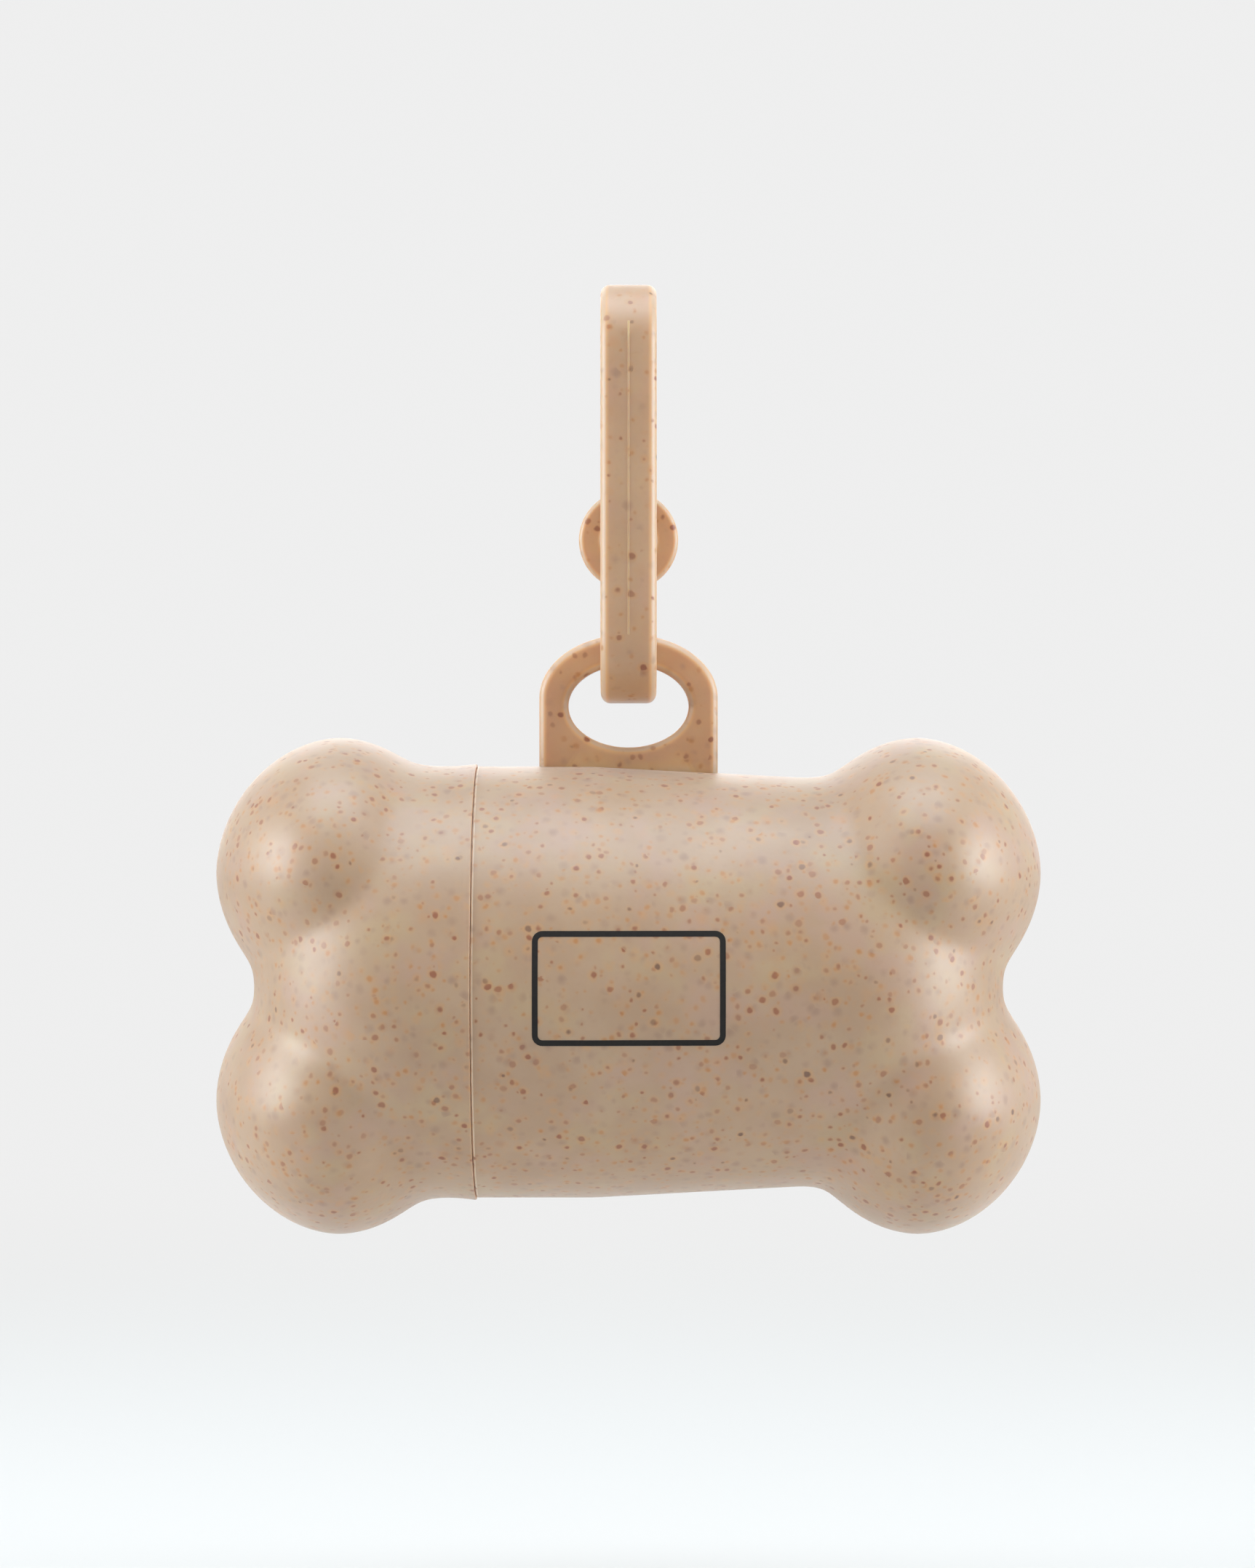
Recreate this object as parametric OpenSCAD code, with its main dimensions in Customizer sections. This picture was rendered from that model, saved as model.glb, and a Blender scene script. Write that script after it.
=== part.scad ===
// Bone-shaped bag dispenser that hangs from a plastic carabiner clip.
// The origin is the crown of the clip's hook, on its inner face. +X runs along
// the bone, -Y is the printed front, +Z is up. All sizes are millimetres.

/* [Bone] */
// Wall of the neck, at the seam
neck_wall = 2.7; // [2.4:0.05:3.4]
// How much the neck's radius shrinks towards the closed end
neck_taper = 1.1; // [0:0.1:1.4]
// Half length of the straight part of the neck
neck_half = 19; // [18.5:0.5:21]
// Length of the rounded end of the neck
end_len = 17.15; // [16.5:0.1:19]
// Distance of the lobe centres from the middle of the bone, along the bone
lobe_x = 27.95; // [27:0.1:30]
// Distance of the lobe centres above and below the bone's middle line
lobe_z = 10.98; // [10:0.1:12.5]
// Half length of a lobe along the bone
lobe_len_r = 12; // [11.5:0.1:13]
// Half height of a lobe
lobe_high_r = 13.07; // [12.5:0.1:14.5]
// Half depth of a lobe, front to back
lobe_deep_r = 18; // [17:0.1:19]
// How far the lobes sit below the neck's axis
lobe_drop = 0.38; // [0:0.02:0.6]
// Softness of the hollow between the lobes and the neck
blend = 0.6; // [0.4:0.1:1]

/* [Opening] */
// Distance of the seam between cap and body from the middle of the bone
seam_x = 14.6; // [13:0.1:16]
// Width of the seam line
seam_gap = 0.2; // [0.1:0.05:0.4]
// How far the cap's rim stands proud of the neck
lip = 0.25; // [0:0.05:0.4]
// Length over which the rim flares
lip_run = 3.4; // [2:0.1:5]
// Length of the spigot that the cap pushes onto
spigot_len = 6.5; // [5:0.1:7]
// Wall of the spigot
spigot_wall = 1.35; // [1.2:0.05:1.5]
// Radial play between the cap and the spigot
cap_play = 0.06; // [0.03:0.01:0.1]
// Room past the end of the spigot inside the cap
cap_room = 0.24; // [0.12:0.02:0.5]
// Width of the key that lines the lobes up
key_w = 2.4; // [1.6:0.1:4]
// Length of the key along the bone
key_len = 3; // [2:0.1:4]
// Play on each side of the key
key_play = 0.2; // [0.1:0.05:0.3]

/* [Cavity] */
// Room round a full roll, so that its bags draw off freely
roll_room = 3.2; // [2.9:0.05:3.6]
// Wall left at the rounded ends, along the bone
end_wall = 2.15; // [1.8:0.05:3]
// Radius of the hollow inside each lobe
pocket_r = 8.8; // [7:0.1:9.2]
// How far the hollows lie outwards of the lobe centres, along the bone
pocket_out = 0.6; // [0:0.1:1]
// How far the hollows lie towards the middle line from the lobe centres
pocket_in = 1; // [0.5:0.1:2]
// Length of the bag slot
slot_len = 28; // [24:0.5:29]
// Height of the bag slot
slot_h = 6; // [5:0.1:7]
// Place of the slot's centre along the bone
slot_x = 3; // [2.5:0.1:5]

/* [Tab] */
// Width of the hanging tab
tab_w = 17.3; // [16:0.1:20]
// Thickness of the tab
tab_t = 3; // [2.5:0.1:3.6]
// Thickness of the arm over the tab's eye
tab_arm = 2.95; // [2.5:0.05:3.4]
// Width of the eye
eye_w = 11.65; // [10.5:0.05:12]
// Height of the eye
eye_h = 8; // [7.4:0.1:9]
// Height of the tab's foot under the eye
tab_foot = 1.85; // [1:0.05:3]
// Height of the arched top of the tab
arch_h = 6.15; // [5.5:0.05:7]
// Chamfer under the arm, where the clip bears
saddle = 0.8; // [0.7:0.05:1]

/* [Clip] */
// Width of the clip's bar, along the bone
clip_w = 5.37; // [4.5:0.01:6.5]
// Thickness of the clip's bar, in the plane of the loop
clip_t = 2.9; // [2.7:0.05:3.2]
// Height inside the loop
loop_h = 34.4; // [32:0.1:40]
// Depth inside the loop
loop_d = 13.8; // [13:0.1:18]
// Outer radius of the loop's upper corners
top_r = 6.6; // [5:0.1:6.8]
// Outer radius of the loop's lower corners
foot_r = 6.4; // [5:0.1:6.8]
// Height of the hook's nose below the inner crown
nose_drop = 10.6; // [9:0.1:12]
// Length of the lap between the nose and the gate
lap = 2.6; // [2:0.1:3]
// Gap between the resting faces of tab and clip, gate and nose, and roll and bore
seat_gap = 0.3; // [0.2:0.05:0.4]

/* [Gate] */
// Height of the gate's bend below the inner crown
bend_drop = 26.4; // [25:0.1:27]
// Thickness of the gate's strip
gate_t = 1.5; // [1.2:0.05:1.6]
// Width of the gate's strip, along the bone
gate_w = 4.4; // [3.5:0.1:4.5]
// Height of the thumb ring's lowest point above the bend
ring_rise = 0.4; // [0.4:0.1:1.5]
// Outer radius of the thumb ring
ring_r = 4.9; // [4.2:0.1:5.5]
// Radius of the hole in the thumb ring
ring_hole_r = 2.55; // [2:0.05:3]
// Thickness of the thumb ring
ring_t = 2; // [1.6:0.1:2.4]

/* [Roll] */
// Radius of the full roll of bags
roll_r = 15; // [13:0.1:17]
// Length of the roll
roll_len = 56; // [50:0.5:56.5]
// Outer radius of the cardboard core
core_r = 8; // [7:0.1:9]
// Wall of the cardboard core
core_wall = 0.8; // [0.5:0.1:1.2]
// Gap between the core and the first wrap
core_gap = 0.05; // [0.02:0.01:0.1]
// Play round the roll and at its ends
roll_play = 0.4; // [0.3:0.05:0.6]
// Width of the gathered end of the first bag
tail_w = 16; // [12:0.5:17]
// Thickness of the gathered end
tail_t = 0.6; // [0.4:0.1:0.8]
// How far the end of the bag stands out past the slot
tail_out = 8; // [6:0.5:10]
// How far the end of the bag can be drawn
tail_travel = 11; // [8:0.5:12]

/* [Hidden] */
$fn = 96;

// Smoothness of the bone's skin: steps round the bone, rings on the neck and on each end.
around = 80;
neck_rings = 7;
end_rings = 30;
// The body's end rings fan out from this point of the axis, the cap's from the seam.
fan_x = 10;
// Fullness of the rounded neck end and of the lobes: 2 is an ellipse.
end_full = 2.2;
lobe_full = 1.88;
// The taper runs between these two places.
taper_from = -3.3;
taper_to = 17;

// How far cutters run past what they cut.
past = 1;
// The skin is found by this many halvings between two distances from the axis.
halvings = 17;
skin_near = neck_half / 2;
skin_far = 2 * neck_half;

// The bore takes the roll, and the neck goes round the bore.
bore_r = roll_r + roll_room;
neck_r = bore_r + neck_wall;

// Heights, from the origin at the hook's inner crown down to the neck's axis.
loop_floor = -loop_h;
eye_sag = eye_h / 2 * (1 - sqrt(1 - pow(clip_w / eye_w, 2)));
arm_z = loop_floor + seat_gap + eye_sag + tab_arm / 2;
tab_top = arm_z + tab_arm / 2;
tab_h = tab_arm + eye_h + tab_foot;
axis_z = tab_top - tab_h - neck_r;

// The clip's loop, front to back.
loop_back = loop_d / 2;
gate_y = loop_back + gate_t / 2;
knuckle_r = gate_t / 2;

// The spigot and the roll's place on the bore's floor.
spigot_r = bore_r + spigot_wall;
cap_bore_r = spigot_r + cap_play;
roll_z = roll_r + seat_gap - bore_r;
bay_r = roll_r + roll_play;
bay_half = roll_len / 2 + roll_play;
dome_len = end_len - end_wall;

// The bag leaves the roll along a tangent that passes through the slot.
exit_y = (bore_r + neck_r) / 2;
wrap_r = roll_r + seat_gap + tail_t / 2;
exit_dist = norm([exit_y, roll_z]);
free_len = sqrt(exit_dist * exit_dist - wrap_r * wrap_r);
pull_angle = asin(wrap_r / exit_dist) - atan2(-roll_z, exit_y);

function clamp01(t) = min(1, max(0, t));
function sum_of(v) = v * [for (i = v) 1];

// Radius of the neck: tapered on the body, flared at the cap's rim.
function neck_at(x) =
    x > -seam_x - seam_gap / 2
        ? neck_r - neck_taper * clamp01((x - taper_from) / (taper_to - taper_from))
        : neck_r + lip * pow(clamp01(1 + (x + seam_x) / lip_run), 2);

// Signed distance, nearly, to the round-ended neck.
function neck_field(p) =
    let (r = neck_at(p[0]), over = max(0, abs(p[0]) - neck_half) / end_len)
    r * (pow(pow(over, end_full) + pow(norm([p[1], p[2]]) / r, end_full), 1 / end_full) - 1);

// The same to one lobe, whose centre is c.
function lobe_field(p, c) =
    let (
        s = [lobe_len_r, lobe_deep_r, lobe_high_r],
        q = [for (i = [0:2]) (p[i] - c[i]) / s[i]],
        k = pow(sum_of([for (t = q) pow(abs(t), lobe_full)]), 1 / lobe_full),
        slope = norm([for (i = [0:2]) q[i] / s[i]])
    )
    k * (k - 1) / max(slope, 0.0001);

// The whole bone: neck and lobes run into each other with a soft hollow.
function bone_field(p) =
    let (
        side = p[0] < 0 ? -1 : 1,
        parts = [
            neck_field(p),
            lobe_field(p, [side * lobe_x, 0, lobe_z - lobe_drop]),
            lobe_field(p, [side * lobe_x, 0, -lobe_z - lobe_drop])
        ]
    )
    -blend * ln(sum_of([for (f = parts) exp(-f / blend)]));

// Distance from o along d to the bone's skin, by halving.
function reach(o, d, lo, hi, steps) =
    let (mid = (lo + hi) / 2)
    steps == 0
        ? mid
        : bone_field(o + mid * d) < 0
            ? reach(o, d, mid, hi, steps - 1)
            : reach(o, d, lo, mid, steps - 1);

function skin_point(x0, tilt, dir, j) =
    let (
        turn = 360 * j / around,
        d = [dir * sin(tilt), cos(tilt) * cos(turn), cos(tilt) * sin(turn)],
        o = [x0, 0, 0]
    )
    o + reach(o, d, skin_near, skin_far, halvings) * d;

// A closed skin: a flat disc at the first ring, then each ring [x0, tilt], then the pole.
module skin(rings, dir) {
    n = len(rings);
    pole_x = rings[n - 1][0];
    points = [
        for (r = rings, j = [0:around - 1]) skin_point(r[0], r[1], dir, j),
        [rings[0][0], 0, 0],
        skin_point(pole_x, 90, dir, 0)
    ];
    quads = [
        for (i = [0:n - 2], j = [0:around - 1])
            let (a = i * around + j, b = i * around + (j + 1) % around)
            each [[a, a + around, b], [b, a + around, b + around]]
    ];
    caps = [
        for (j = [0:around - 1])
            let (k = (j + 1) % around, last = (n - 1) * around)
            each [[n * around, j, k], [last + k, last + j, n * around + 1]]
    ];
    faces = [for (f = concat(quads, caps)) dir > 0 ? f : [f[0], f[2], f[1]]];
    polyhedron(points = points, faces = faces, convexity = 6);
}

function fan(x0, from) = [for (i = [from:end_rings - 1]) [x0, 90 * i / end_rings]];

module body_skin() {
    neck = [for (i = [0:neck_rings - 1]) [-seam_x + (fan_x + seam_x) * i / neck_rings, 0]];
    skin(concat(neck, fan(fan_x, 0)), 1);
}

module cap_skin() {
    skin(fan(-seam_x - seam_gap, 0), -1);
}

// The rounded end of the cavity, one wall inside the neck's own end.
module dome() {
    steps = 14;
    outline = [
        for (i = [0:steps])
            let (t = 90 * i / steps)
            [bore_r * pow(cos(t), 2 / end_full), neck_half + dome_len * pow(sin(t), 2 / end_full)]
    ];
    closed = concat([[0, 0], [bore_r, 0]], outline);
    rotate([0, 90, 0]) rotate_extrude() polygon([for (p = closed) [max(0, p[0]), p[1]]]);
}

// The hollow of one half: dome, a hollow in each lobe and the bay for the roll.
module hollow() {
    dome();
    for (s = [-1, 1]) {
        translate([lobe_x + pocket_out, 0, s * (lobe_z - pocket_in) - lobe_drop]) sphere(r = pocket_r);
    }
    translate([0, 0, roll_z]) rotate([0, 90, 0]) cylinder(r = bay_r, h = bay_half);
}

module slot_cut() {
    straight = slot_len - slot_h;
    translate([slot_x, neck_r, 0]) {
        cube([straight, bore_r, slot_h], center = true);
        for (s = [-1, 1]) {
            translate([s * straight / 2, 0, 0]) rotate([90, 0, 0])
                cylinder(d = slot_h, h = bore_r, center = true);
        }
    }
}

// An arched plate with an oval eye, its foot sunk in the neck's wall.
module tab() {
    sunk = (neck_r - bore_r) / 2;
    spring = tab_top - arch_h;
    foot = axis_z + neck_r - sunk;
    outline = concat(
        [[tab_w / 2, foot]],
        [for (a = [0:6:180]) [tab_w / 2 * cos(a), spring + arch_h * sin(a)]],
        [[-tab_w / 2, foot]]
    );
    eye_z = tab_top - tab_arm - eye_h / 2;
    eye = [for (a = [0:6:354]) [eye_w / 2 * cos(a), eye_z + eye_h / 2 * sin(a)]];
    difference() {
        rotate([90, 0, 0]) linear_extrude(height = tab_t, center = true) difference() {
            polygon(outline);
            polygon(eye);
        }
        for (s = [-1, 1]) {
            translate([0, s * tab_t / 2, arm_z - tab_arm / 2 - eye_sag]) rotate([45, 0, 0])
                cube([clip_w + past, sqrt(2) * saddle, sqrt(2) * saddle], center = true);
        }
    }
}

// The spigot that the cap pushes onto, with the notch for the cap's key at its end.
module spigot() {
    difference() {
        translate([-seam_x - spigot_len, 0, 0]) rotate([0, 90, 0])
            cylinder(r = spigot_r, h = spigot_len + past);
        translate([-seam_x - spigot_len, 0, -spigot_r])
            cube([2 * (key_len + key_play), key_w + 2 * key_play, 4 * spigot_wall], center = true);
    }
}

module body_shell() {
    color([0.85, 0.76, 0.64]) {
        tab();
        translate([0, 0, axis_z]) difference() {
            union() {
                body_skin();
                spigot();
            }
            translate([-seam_x - spigot_len - past, 0, 0]) rotate([0, 90, 0])
                cylinder(r = bore_r, h = seam_x + spigot_len + 2 * past);
            hollow();
            slot_cut();
        }
    }
}

module end_cap() {
    socket_len = spigot_len + cap_room;
    key_tip = -seam_x - spigot_len;
    key_root = (cap_bore_r + neck_r) / 2;
    color([0.86, 0.77, 0.65]) translate([0, 0, axis_z]) {
        difference() {
            cap_skin();
            mirror([1, 0, 0]) hollow();
            translate([-seam_x - socket_len, 0, 0]) rotate([0, 90, 0])
                cylinder(r = cap_bore_r, h = socket_len + past);
        }
        // The key stands inwards from the cap's bore.
        intersection() {
            translate([key_tip - cap_room / 2, -key_w / 2, -key_root])
                cube([key_len, key_w, key_root - bore_r - key_play]);
            translate([key_tip - spigot_len, 0, 0]) rotate([0, 90, 0])
                cylinder(r = key_root, h = 2 * spigot_len);
        }
    }
}

// A rectangle from the floor to the crown, standing in Y and Z, with round corners.
function corner(y, z, r, from) =
    [for (a = [0:10:90]) [y + r * cos(from + a), z + r * sin(from + a)]];

function loop_outline(grow) =
    let (
        y = loop_back + grow,
        top = grow,
        low = loop_floor - grow,
        rt = top_r - clip_t + grow,
        rf = foot_r - clip_t + grow
    )
    concat(
        corner(y - rt, top - rt, rt, 0),
        corner(-y + rt, top - rt, rt, 90),
        corner(-y + rf, low + rf, rf, 180),
        corner(y - rf, low + rf, rf, 270)
    );

// Turns a drawing in the clip's own plane, [y, z], into a bar across X.
module across(w) {
    rotate([90, 0, 90]) linear_extrude(height = w, center = true) children();
}

module clip_frame() {
    lap_y = loop_back + gate_t + seat_gap;
    color([0.84, 0.70, 0.54]) difference() {
        across(clip_w) difference() {
            polygon(loop_outline(clip_t));
            polygon(loop_outline(0));
            // The gate's window, from the bend up to the nose.
            translate([loop_back - past, -bend_drop]) square([clip_t + 2 * past, bend_drop - nose_drop]);
            // The nose is thinner where the gate laps behind it.
            translate([loop_back - past, -nose_drop - past])
                square([lap_y - loop_back + past, lap + past + seat_gap]);
        }
        translate([0, gate_y, -bend_drop]) rotate([0, 90, 0])
            cylinder(r = knuckle_r + seat_gap, h = clip_w + 2 * past, center = true);
    }
}

// The springy gate: a strip from the bend to the nose, with the thumb ring in it.
module clip_gate() {
    tip = -nose_drop + lap;
    ring_z = -bend_drop + ring_rise + ring_r;
    color([0.86, 0.68, 0.50]) difference() {
        union() {
            translate([0, gate_y, -bend_drop]) rotate([0, 90, 0])
                cylinder(r = knuckle_r, h = gate_w, center = true);
            translate([-gate_w / 2, gate_y - gate_t / 2, -bend_drop])
                cube([gate_w, gate_t, tip + bend_drop]);
            translate([0, gate_y, ring_z]) rotate([90, 0, 0])
                cylinder(r = ring_r, h = ring_t, center = true);
        }
        translate([0, gate_y, ring_z]) rotate([90, 0, 0])
            cylinder(r = ring_hole_r, h = ring_t + past, center = true);
    }
}

module tube_x(r_out, r_in, length) {
    rotate([0, 90, 0]) difference() {
        cylinder(r = r_out, h = length, center = true);
        cylinder(r = r_in, h = length + past, center = true);
    }
}

module roll_core() {
    color([0.62, 0.50, 0.38]) translate([0, 0, axis_z + roll_z])
        tube_x(core_r, core_r - core_wall, roll_len);
}

module bag_roll() {
    color([0.20, 0.42, 0.25]) translate([0, 0, axis_z + roll_z])
        tube_x(roll_r, core_r + core_gap, roll_len);
}

// The free end of the first bag, from its last wrap to just outside the slot.
module bag_tail() {
    length = tail_travel + free_len + tail_out;
    color([0.22, 0.46, 0.28]) translate([slot_x, exit_y, axis_z]) rotate([-pull_angle, 0, 0])
        translate([0, tail_out - length / 2, 0]) cube([tail_w, length, tail_t], center = true);
}

clip_frame();
clip_gate();
body_shell();
end_cap();
roll_core();
bag_roll();
bag_tail();
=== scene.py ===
import math

import bmesh
import bpy
import numpy as np
from mathutils import Matrix, Vector


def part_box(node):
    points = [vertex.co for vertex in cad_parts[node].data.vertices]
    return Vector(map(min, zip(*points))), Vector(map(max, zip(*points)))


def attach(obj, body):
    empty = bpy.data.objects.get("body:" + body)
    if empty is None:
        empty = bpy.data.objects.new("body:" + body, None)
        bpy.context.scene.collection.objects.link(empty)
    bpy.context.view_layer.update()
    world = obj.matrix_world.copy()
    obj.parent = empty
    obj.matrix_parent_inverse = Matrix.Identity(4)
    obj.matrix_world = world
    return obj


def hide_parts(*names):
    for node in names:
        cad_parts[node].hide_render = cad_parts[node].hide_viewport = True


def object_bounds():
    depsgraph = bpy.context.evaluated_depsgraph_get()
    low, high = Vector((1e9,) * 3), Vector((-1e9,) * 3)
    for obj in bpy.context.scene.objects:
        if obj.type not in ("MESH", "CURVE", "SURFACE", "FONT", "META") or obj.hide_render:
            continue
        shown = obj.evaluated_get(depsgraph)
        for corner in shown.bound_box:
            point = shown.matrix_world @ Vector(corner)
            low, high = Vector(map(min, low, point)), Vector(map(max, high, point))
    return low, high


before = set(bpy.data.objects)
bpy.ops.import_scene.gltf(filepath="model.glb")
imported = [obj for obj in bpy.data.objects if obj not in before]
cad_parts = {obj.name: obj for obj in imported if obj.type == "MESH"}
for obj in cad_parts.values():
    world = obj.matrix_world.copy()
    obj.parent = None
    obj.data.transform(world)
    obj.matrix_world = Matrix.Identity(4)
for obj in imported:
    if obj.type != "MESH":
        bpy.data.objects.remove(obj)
cadLow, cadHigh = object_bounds()
mm = 0.001  # the pieces are modelled in millimetres and scaled down once, at the end

# The bone: a neck with rounded ends and four lobes.
bone = {
    "neckRadius": 20.9,
    "neckTaper": 1.1,
    "taperFrom": -3.3,
    "taperTo": 17.0,
    "neckHalf": 19.0,
    "endLength": 17.15,
    "endFullness": 2.2,
    "lobeOut": 27.95,
    "lobeUp": 10.98,
    "lobeDrop": 0.38,
    "lobeSize": (12.0, 18.0, 13.07),
    "lobeFullness": 1.88,
    "blend": 0.6,
    "around": 240,
    "halvings": 26,
    "fanX": 10.0,
    "fanSteps": 110,
    "neckSteps": 50,
    "capSteps": 150,
}
# Where the cap meets the body.
seam = {
    "x": -14.6,
    "gap": 0.11,
    "paleFull": 0.10,
    "paleEnd": 0.22,
    "tintFade": 0.02,
    "lip": 0.25,
    "lipRun": 3.4,
    "rimRound": 0.09,
    "rimSteps": 4,
    "grooveDepth": 0.16,
    "grooveGap": 0.05,
    "spigotLength": 6.5,
    "spigotRadius": 19.55,
    "socketRadius": 19.61,
    "socketRoom": 0.24,
    "chamfer": 0.3,
    "keyWidth": 2.4,
    "keyLength": 3.0,
    "keyPlay": 0.2,
    "keySunk": 0.34,
    "keyRound": 0.15,
    "notchHeight": 5.4,
}
cavity = {
    "bore": 18.2,
    "domeLength": 15.0,
    "rings": 18,
    "boreFrom": 1.0,
    "boreSteps": 34,
    "socketSteps": 10,
}

capLow, capHigh = (Vector(corner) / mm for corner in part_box("end_cap"))
axisHeight = (capLow.z + capHigh.z) / 2 + bone["lobeDrop"]
turns = np.linspace(0, 2 * math.pi, bone["around"], endpoint=False)


# Finishes: Wire wraps a socket, so that sums on it add Math nodes.


class Wire:
    def __init__(self, finish, socket):
        self.finish = finish
        self.socket = socket

    def out(self, name):
        return Wire(self.finish, self.socket.node.outputs[name])

    def maths(self, operation, first, second):
        return self.finish.node("ShaderNodeMath", {"operation": operation}, {0: first, 1: second})

    def __add__(self, other):
        return self.maths("ADD", self, other)

    def __sub__(self, other):
        return self.maths("SUBTRACT", self, other)

    def __rsub__(self, other):
        return self.maths("SUBTRACT", other, self)

    def __mul__(self, other):
        return self.maths("MULTIPLY", self, other)

    __radd__ = __add__
    __rmul__ = __mul__

    def __lt__(self, other):
        return self.maths("LESS_THAN", self, other)


class Finish:
    def __init__(self, name, **fixed):
        self.material = bpy.data.materials.new(name)
        self.material.use_nodes = True
        self.tree = self.material.node_tree
        self.shader = self.tree.nodes["Principled BSDF"]
        for socket, value in fixed.items():
            self.shader.inputs[socket.replace("_", " ")].default_value = value
        self.place = self.node("ShaderNodeTexCoord").out("Object")

    def node(self, kind, settings=None, values=None):
        made = self.tree.nodes.new(kind)
        for key, value in (settings or {}).items():
            setattr(made, key, value)
        for key, value in (values or {}).items():
            if isinstance(value, Wire):
                self.tree.links.new(value.socket, made.inputs[key])
            else:
                made.inputs[key].default_value = value
        return Wire(self, next(socket for socket in made.outputs if socket.enabled))

    def noise(self, size, detail=2.0, place=None, roughness=0.5, output="Fac"):
        values = {"Vector": place or self.place, "Scale": 1 / (size * mm), "Detail": detail}
        values["Roughness"] = roughness
        return self.node("ShaderNodeTexNoise", {}, values).out(output)

    def ease(self, value, low, high):
        return self.node(
            "ShaderNodeMapRange",
            {"interpolation_type": "SMOOTHSTEP"},
            {"Value": value, "From Min": low, "From Max": high},
        )

    def blend(self, share, first, second):
        return self.node("ShaderNodeMix", {"data_type": "RGBA"}, {0: share, 6: first, 7: second})

    def shift(self, place, amount, size):
        # a place moved about by a soft noise of this size
        wobble = self.noise(size, 1.0, place, output="Color")
        centred = self.vector("SUBTRACT", {0: wobble, 1: (0.5, 0.5, 0.5)})
        scaled = self.vector("SCALE", {0: centred, "Scale": amount * mm})
        return self.vector("ADD", {0: place, 1: scaled})

    def vector(self, operation, values):
        return self.node("ShaderNodeVectorMath", {"operation": operation}, values)

    def drive(self, **links):
        for socket, value in links.items():
            self.tree.links.new(value.socket, self.shader.inputs[socket.replace("_", " ")])

    def bump(self, height, distance, strength=1.0, normal=None):
        values = {"Height": height, "Distance": distance * mm, "Strength": strength}
        if normal:
            values["Normal"] = normal
        return self.node("ShaderNodeBump", {}, values)


def color(red, green, blue):
    return (red, green, blue, 1.0)


# Layers of husk specks: sizes in mm, and the share of cells that hold one.
huskLayers = {
    "rust": {"cell": 1.10, "radius": 0.27, "share": 0.70, "soft": 0.16, "strength": 1.0, "halo": 0.42},
    "amber": {"cell": 1.10, "radius": 0.24, "share": 0.84, "soft": 0.22, "strength": 0.85, "halo": 0.38},
    "bark": {"cell": 2.00, "radius": 0.27, "share": 0.58, "soft": 0.16, "strength": 0.95, "halo": 0.45},
    "smudge": {"cell": 1.25, "radius": 0.42, "share": 0.74, "soft": 0.50, "strength": 0.50, "halo": 0.0},
    "stain": {"cell": 2.30, "radius": 0.62, "share": 0.60, "soft": 0.90, "strength": 0.36, "halo": 0.0},
}
huskTones = {
    "rust": color(0.260, 0.062, 0.008),
    "amber": color(0.440, 0.165, 0.022),
    "bark": color(0.135, 0.045, 0.012),
    "smudge": color(0.250, 0.125, 0.080),
    "stain": color(0.580, 0.250, 0.070),
    "halo": color(0.580, 0.265, 0.065),
}
# a painted warm glow for the bottom of the seam's gap, standing in for light through the plastic
paintedSeamGlow = color(0.75, 0.36, 0.13)
# How the grains vary: lengths in mm, the rest as shares.
grainShape = {
    "wobble": 0.34,
    "wobbleSize": 0.8,
    "faintest": 0.4,
    "faintRange": 0.6,
    "smallest": 0.55,
    "sizeRange": 0.9,
    "haloReach": 2.3,
    "haloSoft": 3,
    "grainFade": (-0.3, 1.0),
    "haloFade": (0.0, 1.2),
    "layerStep": (13.0, 7.0, 19.0),
}


def specks(finish, layer, seed, density):
    # round grains, each in its own Voronoi cell, and the soft halo round each
    moves = [seed * step * mm for step in grainShape["layerStep"]]
    moved = finish.node("ShaderNodeMapping", {}, {"Vector": finish.place, "Location": moves})
    wobbled = finish.shift(moved, grainShape["wobble"], grainShape["wobbleSize"])
    values = {"Vector": wobbled, "Scale": 1 / (layer["cell"] * mm)}
    cells = finish.node("ShaderNodeTexVoronoi", {"feature": "F1"}, values)
    chance = finish.node("ShaderNodeSeparateColor", {}, {0: cells.out("Color")})
    faintness = chance.out("Blue") * grainShape["faintRange"] + grainShape["faintest"]
    chosen = (chance.out("Red") < layer["share"] * density) * faintness
    size = chance.out("Green") * grainShape["sizeRange"] + grainShape["smallest"]
    reach = size * (layer["radius"] / layer["cell"])
    depth = (reach - cells.out("Distance")) * (layer["cell"] / layer["soft"])
    grain = finish.ease(depth, *grainShape["grainFade"]) * chosen * layer["strength"]
    outwards = reach * grainShape["haloReach"] - cells.out("Distance")
    spread = outwards * (layer["cell"] / (grainShape["haloSoft"] * layer["soft"]))
    return grain, finish.ease(spread, *grainShape["haloFade"]) * chosen * layer["halo"]


# Clouds of each tone over the pale one: noise size in mm, where it starts and is full, its share.
toneClouds = {
    "tan": {"size": 7.0, "detail": 3.0, "rough": 0.5, "from": 0.30, "to": 0.70, "share": 1.0},
    "blush": {
        "size": 6.0,
        "detail": 2.0,
        "rough": 0.5,
        "from": 0.48,
        "to": 0.70,
        "share": 0.55,
        "shift": (5.0, 21.0),
    },
    "straw": {
        "size": 5.0,
        "detail": 2.0,
        "rough": 0.5,
        "from": 0.50,
        "to": 0.72,
        "share": 0.50,
        "shift": (4.0, 15.0),
    },
    "husk": {"size": 0.9, "detail": 4.0, "rough": 0.7, "from": 0.48, "to": 0.80, "share": 0.16},
}
# Painted light towards an edge, in place of real light: a warm glow as of light through the thin
# plastic, then a pale painted highlight; how near it each one starts and is full, and its share.
paintedEdgeLight = {
    "paintedRimGlow": {"from": 0.0, "to": 0.5, "share": 0.75},
    "rim": {"from": 0.3, "to": 0.9, "share": 0.70},
}


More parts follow.
